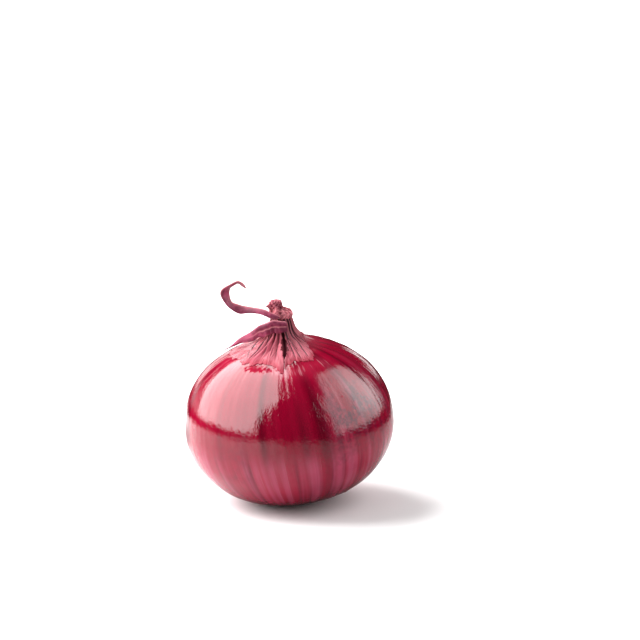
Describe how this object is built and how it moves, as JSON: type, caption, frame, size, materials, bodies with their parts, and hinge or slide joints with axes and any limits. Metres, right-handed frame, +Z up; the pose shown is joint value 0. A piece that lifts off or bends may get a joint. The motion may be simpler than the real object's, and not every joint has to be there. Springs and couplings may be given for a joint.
{
  "type": "red onion",
  "caption": "Whole red onion standing on its root end, with a glossy ribbed bulb, a torn papery skin round a twisted dry neck, curled dry leaves and a root tuft",
  "frame": {"origin": "middle of the flat spot under the bulb, on the surface it rests on", "axes": "+Z up; the front of the onion faces -Y and +X is to its right as seen from the front; the neck leans a few degrees to the front and to the left"},
  "size_m": [0.0837, 0.0842, 0.0896],
  "materials": {
    "bulb_skin": "living onion skin: deep crimson with darker and paler lengthwise veins, smooth and glossy, paler pink towards the neck",
    "papery_skin": "dry papery skin: pale pink with dark creases, matt, torn edge",
    "dry_neck": "twisted dead leaf: dusty pink and maroon, matt and fibrous",
    "dry_leaf": "dry leaf: maroon with pinkish brown edges, satin, finely veined",
    "roots": "dry roots: straw yellow to brown, matt and fibrous"
  },
  "bodies": {
    "root": {"bulb": "bulb_skin", "papery_skin": "papery_skin", "dry_neck": "dry_neck", "dry_leaf_curled": "dry_leaf", "dry_leaf_shoulder": "dry_leaf", "roots": "roots"}
  },
  "joints": []
}
